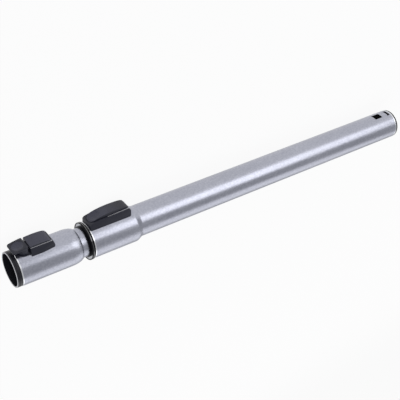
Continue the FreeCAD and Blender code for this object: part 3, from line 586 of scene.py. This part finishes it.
def seen_from_above(name, front, rear, half_front, half_rear, corner_front, corner_rear):
    """Block with a rounded plan, taller than any moulding."""
    plan = [*ease(rear - corner_rear, half_rear - corner_rear, corner_rear, 0, 90),
            *ease(front + corner_front, half_front - corner_front, corner_front, 90, 180),
            *ease(front + corner_front, corner_front - half_front, corner_front, 180, 270),
            *ease(rear - corner_rear, corner_rear - half_rear, corner_rear, 270, 360)]
    return pulled(name, [(x, across, 0) for x, across in plan], (0, 0, MOULDING_HEIGHT))


def seen_from_end(name, half_section, front, rear):
    """Block with a section of (across, height) mirrored about the middle."""
    section = half_section + [(-across, height) for across, height in reversed(half_section)]
    return pulled(name, [(front, across, height) for across, height in section], (rear - front, 0, 0))


def rod(radius, middle, direction, length):
    """Round bar through a point."""
    bpy.ops.object.select_all(action="DESELECT")
    bpy.ops.mesh.primitive_cylinder_add(vertices=RING_EDGES, radius=radius * MM, depth=length * MM)
    bar = bpy.context.object
    bar.rotation_euler = direction.to_track_quat("Z", "Y").to_euler()
    bar.location = middle * MM
    bpy.ops.object.transform_apply()
    return bar


def rub(piece, finish, wanted):
    """Gives a second finish to the faces whose x, across, height and share of looking up are wanted."""
    piece.data.materials.append(finish.material)
    for face in piece.data.polygons:
        spot = face.center / MM
        if wanted(spot.x, spot.dot(ACROSS), spot.dot(THUMB_SIDE), face.normal.dot(THUMB_SIDE)):
            face.material_index = len(piece.data.materials) - 1


HOUSING_SIDE = [(88.2, 10.0), (88.2, 20.5), (88.7, 23.8), *bow((89.8, 25.3), (97.0, 27.2), (110.0, 27.7)),
                *bow((135.2, 28.8), (137.5, 25.2), (138.6, 17.4)), (138.6, 10.0)]
HOUSING_PLAN = dict(front=88.0, rear=138.8, half_front=10.4, half_rear=10.4,
                    corner_front=3.4, corner_rear=5.2)
HOUSING_SECTION = [(9.9, 5.0), (9.8, 18.2), (8.4, 28.0), (8.3, 40.0)]
BUTTON_ROOM = dict(front=90.0, rear=137.0, half_front=7.6, half_rear=7.6,
                   corner_front=6.3, corner_rear=4.2)
HOUSING_MIDDLE = Vector((113, 0, 0))
HOUSING_FOOT, ROOM_FOOT, ROOM_REACH = 19.0, 23.0, 7.7
RIM_HEIGHT, RIM_FRONT, RIM_LIFT = 26.6, 115, 0.15
housing = seen_from_side("length_lock_housing", HOUSING_SIDE)
cut(housing, seen_from_above("housing_plan", **HOUSING_PLAN), "INTERSECT")
cut(housing, seen_from_end("housing_section", HOUSING_SECTION, front=80, rear=150), "INTERSECT")
soften(housing, width=0.7, segments=4, wanted=lambda x, across, height: height > HOUSING_FOOT)
cut(housing, rod(SWAGE_R + PUSH_FIT, HOUSING_MIDDLE, ALONG, ROD_LENGTH))
cut(housing, seen_from_above("button_room", **BUTTON_ROOM))
soften(housing, width=0.2, segments=2, wanted=lambda x, across, height:
       height > ROOM_FOOT and abs(across) < ROOM_REACH)
settle(housing, moulded_black, "lower_tube", "moulded_black", "lock_housing")
# The upper rim gets the painted highlight.
rub(housing, painted_highlight_edge, lambda x, across, height, lift:
    height > RIM_HEIGHT and x > RIM_FRONT and lift > RIM_LIFT)


# Length button: rocking thumb button of the same nylon in the housing's room, with
# a shallow scoop for the thumb at its front, turning on a pin through its flanks.
# Its top is painted lighter than the plain moulded tone as lit, fading to a painted
# shade towards the rear, and its flanks keep the plain moulded tone.

# Painted light: a lighter black for tops that face the light, shading darker towards the rear of the
# button.
BUTTON_LIT_SHADE, BUTTON_LIT_LIGHT = (0.046, 0.047, 0.071, 1), (0.061, 0.062, 0.091, 1)
BUTTON_SHADED = (0.017, 0.017, 0.026, 1)
LIT_UNTIL, SHADED_FROM = 108 * MM, 128 * MM
button_black = Finish("button_black", IOR=1.45)
eroded = button_black.noise(3600, 3)
drift = button_black.noise(90, 3)
polished = button_black.patch(button_black.noise(60, 2), 0.45, 0.75)
lengthwise = button_black.node("ShaderNodeSeparateXYZ", values={0: button_black.place})
shaded_share = button_black.patch(lengthwise, LIT_UNTIL, SHADED_FROM)
lit_skin = button_black.tint(drift, BUTTON_LIT_SHADE, BUTTON_LIT_LIGHT)
button_black.lay(
    Base_Color=button_black.tint(shaded_share, lit_skin, BUTTON_SHADED),
    Roughness=0.42 + eroded * 0.12 - polished * 0.08)
button_black.relief(eroded, depth=0.04)


def thumb_scoop(x, height, slope, half_length, half_width, depth):
    """Hollow for a thumb: the bottom of a flat egg let into a sloping top."""
    lift = 3 * depth
    turn = Matrix.Rotation(-ROLL, 4, "X") @ Matrix.Rotation(-math.radians(slope), 4, "Y")
    bpy.ops.object.select_all(action="DESELECT")
    bpy.ops.mesh.primitive_uv_sphere_add(segments=64, ring_count=48, radius=MM)
    egg = bpy.context.object
    spread = 1 / math.sqrt(1 - (lift / (lift + depth)) ** 2)
    shape = Matrix.Diagonal((half_length * spread, half_width * spread, lift + depth, 1))
    egg.matrix_world = Matrix.Translation(Vector((x, 0, 0)) * MM + THUMB_SIDE * height * MM) @ turn @ (
        Matrix.Translation((0, 0, lift * MM)) @ shape)
    bpy.ops.object.transform_apply()
    return egg


BUTTON_SIDE = [(90.35, 23.9), *bow((90.35, 25.6), (97.2, 28.9), (107.0, 30.8)),
               *bow((109.0, 31.0), (118.0, 31.4), (127.0, 31.2)),
               *bow((128.0, 31.1), (134.3, 29.9), (136.65, 27.2)),
               (136.65, 23.0), (112.0, 23.0), (104.0, 22.2), (96.0, 23.9)]
BUTTON_PLAN = dict(front=90.35, rear=136.65, half_front=7.1, half_rear=7.1,
                   corner_front=5.9, corner_rear=3.8)
BUTTON_SCOOP = dict(x=99.0, height=29.3, slope=19.0, half_length=7.6, half_width=5.6, depth=1.0)
BUTTON_FOOT, FLANK_LIFT = 24.6, 0.45
PIN_X, PIN_HEIGHT, PIN_HOLE_R, PIN_HOLE_LENGTH = 106, 25.4, 1.35, 40
button = seen_from_side("length_thumb_button", BUTTON_SIDE)
cut(button, seen_from_above("button_plan", **BUTTON_PLAN), "INTERSECT")
soften(button, width=1.2, segments=6, wanted=lambda x, across, height: height > BUTTON_FOOT)
cut(button, thumb_scoop(**BUTTON_SCOOP))
cut(button, rod(PIN_HOLE_R, Vector((PIN_X, 0, 0)) + THUMB_SIDE * PIN_HEIGHT, ACROSS, PIN_HOLE_LENGTH))
settle(button, button_black, "length_button", "button_black", "length_button")
# The flanks are set back to the plain moulded tone; only the top keeps the painted lit tone.
rub(button, moulded_black, lambda x, across, height, lift: lift < FLANK_LIFT)


# Handle latch's frame and lid: nylon mouldings like the lock's, the frame riveted
# on the bell and the crowned lid snapped on it. Between them runs a shut line
# whose frame edge is painted pale as a highlight, and a gate in front lets the
# rocker's arm in. The lid's top is painted lighter than its flanks as lit, and its
# front edge is painted pale as a highlight.

LATCH_SIDE = [(21.6, 8.0), (21.6, 27.0), *bow((22.2, 27.2), (32.0, 27.7), (41.5, 27.1)),
              *bow((42.5, 26.8), (46.6, 23.6), (48.6, 16.6)), (48.6, 8.0)]
LATCH_SECTION = [(11.7, 5.0), (11.4, 16.0), (9.6, 25.8), (9.2, 40.0)]
LATCH_FRONT, LATCH_REAR, LATCH_HALF_FRONT, LATCH_HALF_REAR = 21.5, 48.7, 12.2, 10.4
LATCH_CORNER_FRONT, LATCH_CORNER_REAR = 0.8, 2.6
LATCH_ROOM = dict(front=23.0, rear=46.2, half_front=8.4, half_rear=7.8,
                  corner_front=1.0, corner_rear=1.5)
LATCH_CUT_FRONT, LATCH_CUT_REAR = 0, 60
LATCH_MIDDLE = Vector((25, 0, 0))


def latch_block(name, low, high, trim):
    """The latch's outer form between two heights, trimmed at both sides."""
    ends = (LATCH_CUT_FRONT, LATCH_CUT_REAR)
    section = [(across - trim, height) for across, height in LATCH_SECTION]
    layer = [(MOULDING_REACH, low), (MOULDING_REACH, high)]
    block = seen_from_side(name, LATCH_SIDE)
    cut(block, seen_from_above("latch_plan", LATCH_FRONT, LATCH_REAR, LATCH_HALF_FRONT - trim,
                               LATCH_HALF_REAR - trim, LATCH_CORNER_FRONT, LATCH_CORNER_REAR), "INTERSECT")
    cut(block, seen_from_end("latch_section", section, *ends), "INTERSECT")
    cut(block, seen_from_end("latch_layer", layer, *ends), "INTERSECT")
    return block


FRAME_BOTTOM, FRAME_TOP, FRAME_FOOT = 9.0, 25.65, 17.0
GATE_SECTION, GATE_FRONT, GATE_REAR = [(5.5, 15.0), (5.5, 30.0)], 20.0, 24.4
SHUT_LINE_HEIGHT, SHUT_LINE_LIFT = 25.0, 0.2
latch_frame = latch_block("latch_frame", FRAME_BOTTOM, FRAME_TOP, trim=0.0)
soften(latch_frame, width=0.5, segments=3, wanted=lambda x, across, height: height > FRAME_FOOT)
cut(latch_frame, seen_from_above("latch_room", **LATCH_ROOM))
cut(latch_frame, seen_from_end("arm_gate", GATE_SECTION, GATE_FRONT, GATE_REAR))
cut(latch_frame, copied("latch_base", "latch_saddle"), "UNION")
cut(latch_frame, rod(BELL_R + PUSH_FIT, LATCH_MIDDLE, ALONG, ROD_LENGTH))
settle(latch_frame, moulded_black, "upper_tube", "moulded_black", "latch_base")
# The frame's top edge along the shut line gets the painted highlight.
rub(latch_frame, painted_highlight_edge, lambda x, across, height, lift:
    lift > SHUT_LINE_LIFT and height > SHUT_LINE_HEIGHT)

LID_BOTTOM, LID_TOP, LID_FOOT = 25.95, 40.0, 26.3
LID_HIGHLIGHT_UNTIL, LID_HIGHLIGHT_ACROSS, LID_HIGHLIGHT_LIFT = 22.3, 1, -0.5
lid = latch_block("latch_lid", LID_BOTTOM, LID_TOP, trim=0.5)
soften(lid, width=0.75, segments=5, wanted=lambda x, across, height: height > LID_FOOT)
# The lid takes the painted lit tone; its flanks are set back to the plain moulded tone.
settle(lid, button_black, "upper_tube", "button_black", "latch_cover")
rub(lid, moulded_black, lambda x, across, height, lift: lift < FLANK_LIFT)
# The near half of the lid's front edge gets the painted highlight.
rub(lid, painted_highlight_edge, lambda x, across, height, lift:
    x < LID_HIGHLIGHT_UNTIL and across > LID_HIGHLIGHT_ACROSS and lift > LID_HIGHLIGHT_LIFT)


# Handle latch's rocker: thumb pad, arm and hook in one nylon moulding, the packed
# solid's shape with its edges rounded. The scoop is painted lighter than the rim as
# lit, and the pad's rear edge is painted pale as a highlight.

PAD_FRONT, PAD_REAR, PAD_LOW, PAD_HIGH, PAD_BULGE = 3.4, 19.4, 25.4, 27.9, 0.35
PAD_FOOT, PAD_END, RIM_DEPTH, SCOOP_LIFT = 24.0, 19.5, 0.12, 0.85
PAD_HIGHLIGHT_FROM, PAD_HIGHLIGHT_HEIGHT, PAD_HIGHLIGHT_LOW_LIFT, PAD_HIGHLIGHT_HIGH_LIFT = 18.7, 26.5, 0.2, 0.95


def pad_top(x):
    """Height of the thumb pad's rim."""
    share = (x - PAD_FRONT) / (PAD_REAR - PAD_FRONT)
    return PAD_LOW + (PAD_HIGH - PAD_LOW) * share + PAD_BULGE * 4 * share * (1 - share)


rocker = copied("latch_rocker", "latch_thumb_pad")
soften(rocker, width=0.6, segments=3, wanted=lambda x, across, height: height > PAD_FOOT and x < PAD_END)
settle(rocker, button_black, "handle_latch", "button_black", "latch_rocker")
# Only the scoop keeps the painted lit tone; the rim and the flanks are set back to the plain moulded tone.
rub(rocker, moulded_black, lambda x, across, height, lift:
    lift < SCOOP_LIFT or height > pad_top(x) - RIM_DEPTH)
# The pad's rear top edge gets the painted highlight.
rub(rocker, painted_highlight_edge, lambda x, across, height, lift: PAD_HIGHLIGHT_FROM < x < PAD_END
    and PAD_HIGHLIGHT_LOW_LIFT < lift < PAD_HIGHLIGHT_HIGH_LIFT and height > PAD_HIGHLIGHT_HEIGHT)


# Pins, tooth and leaf springs: ground and hardened steel, pushed into the two
# mouldings from the side or laid under the thumb ends, nearly all out of sight.

STEEL_SHADE, STEEL_LIGHT = (0.45, 0.45, 0.46, 1), (0.6, 0.6, 0.61, 1)
steel = Finish("pin_steel", Metallic=1.0)
ground = steel.noise(3000, 2, stretch=(1, 0.1, 0.1))
steel.lay(Base_Color=steel.tint(ground, STEEL_SHADE, STEEL_LIGHT), Roughness=0.25 + ground * 0.15)
dress(steel, "button_pin", "lock_tooth", "button_spring", "latch_pin", "latch_spring")


# Studio: a white table in a pale room, with a soft box beside the camera that
# draws the long highlight along the wand and a broad one over its back.

TABLE_SIZE, TABLE_GAP = 60, 0.0001
TABLE_WHITE, TABLE_GLOW = (0.9, 0.9, 0.9, 1), 0.92
bpy.ops.object.select_all(action="DESELECT")
bpy.ops.mesh.primitive_plane_add(size=TABLE_SIZE, location=(0.25, 0, cad_box[0][2] - TABLE_GAP))
table = bpy.context.object
table.name = "table"
white = Finish("white_table", Roughness=0.9, Base_Color=TABLE_WHITE)
seen = white.node("ShaderNodeLightPath", output="Is Camera Ray")
mirrored = white.node("ShaderNodeLightPath", output="Is Glossy Ray")
through = white.node("ShaderNodeLightPath", output="Is Transmission Ray")
glow = white.node("ShaderNodeEmission", values={"Color": (1, 1, 1, 1), "Strength": 1.0})
lit = Wire(white, white.skin.outputs[0])
glow_share = (seen + mirrored + through) * TABLE_GLOW
shown = white.node("ShaderNodeMixShader", values={0: glow_share, 1: lit, 2: glow})
white.plug(white.tree.nodes["Material Output"].inputs["Surface"], shown)
table.data.materials.append(white.material)


class Sky(Finish):
    """The room round the table, wired in the same way."""

    def __init__(self, name):
        world = bpy.data.worlds.new(name)
        world.use_nodes = True
        self.tree = world.node_tree
        bpy.context.scene.world = world


ROOM_COLOUR, ROOM_LIGHT, BACKDROP_LIGHT = (0.97, 0.98, 1.0, 1), 0.5, 0.97
sky = Sky("studio")
looked_at = sky.node("ShaderNodeLightPath", output="Is Camera Ray")
room = sky.node("ShaderNodeBackground", values={"Color": ROOM_COLOUR, "Strength": ROOM_LIGHT})
backdrop = sky.node("ShaderNodeBackground", values={"Color": (1, 1, 1, 1), "Strength": BACKDROP_LIGHT})
surroundings = sky.node("ShaderNodeMixShader", values={0: looked_at, 1: room, 2: backdrop})
sky.plug(sky.tree.nodes["World Output"].inputs["Surface"], surroundings)

WAND_MIDDLE = Vector((0.26, 0, 0))


def soft_box(name, bearing, height, distance, length, width, radiance):
    """A soft box facing the wand, its length level; bearing from +Y towards +X, angles in degrees."""
    side = math.radians(bearing)
    rise = math.radians(height)
    away = Vector((math.cos(rise) * math.sin(side), math.cos(rise) * math.cos(side), math.sin(rise)))
    bpy.ops.object.light_add(type="AREA", location=WAND_MIDDLE + away * distance)
    lamp = bpy.context.object
    lamp.name = name
    lamp.data.shape = "RECTANGLE"
    lamp.data.size = length
    lamp.data.size_y = width
    lamp.data.energy = radiance * math.pi * length * width
    lamp.rotation_euler = away.to_track_quat("Z", "Y").to_euler()


soft_box("front_light", bearing=32, height=19.5, distance=2.0, length=1.3, width=1.28, radiance=2.0)
soft_box("back_light", bearing=160, height=48, distance=2.5, length=3.2, width=2.2, radiance=0.85)


# Camera at the photograph's viewing angle: a long lens from the mouth's side of
# the wand, turned so that the thumb buttons stand at the top of the picture.

LENS, SENSOR = 76.5, 36
TILT = ROLL - math.radians(47.5)
LEVEL = Vector((0, math.sin(TILT), math.cos(TILT)))
UPRIGHT = Vector((0, math.cos(TILT), -math.sin(TILT)))


def aimed(along, level, upright):
    """Direction or place given along the wand, level with the camera and upright to both."""
    return ALONG * along + LEVEL * level + UPRIGHT * upright


right = aimed(0.831556, 0.420715, -0.362647)
up = aimed(0.325628, 0.159679, 0.931917)
turn = Matrix((right, up, right.cross(up))).transposed().to_4x4()
bpy.ops.object.camera_add()
camera = bpy.context.object
camera.name = "camera"
camera.matrix_world = Matrix.Translation(aimed(-0.2037, 0.8605, 0)) @ turn
camera.data.sensor_width = SENSOR
camera.data.lens = LENS
bpy.context.scene.camera = camera
bpy.context.scene.view_settings.view_transform = "Standard"
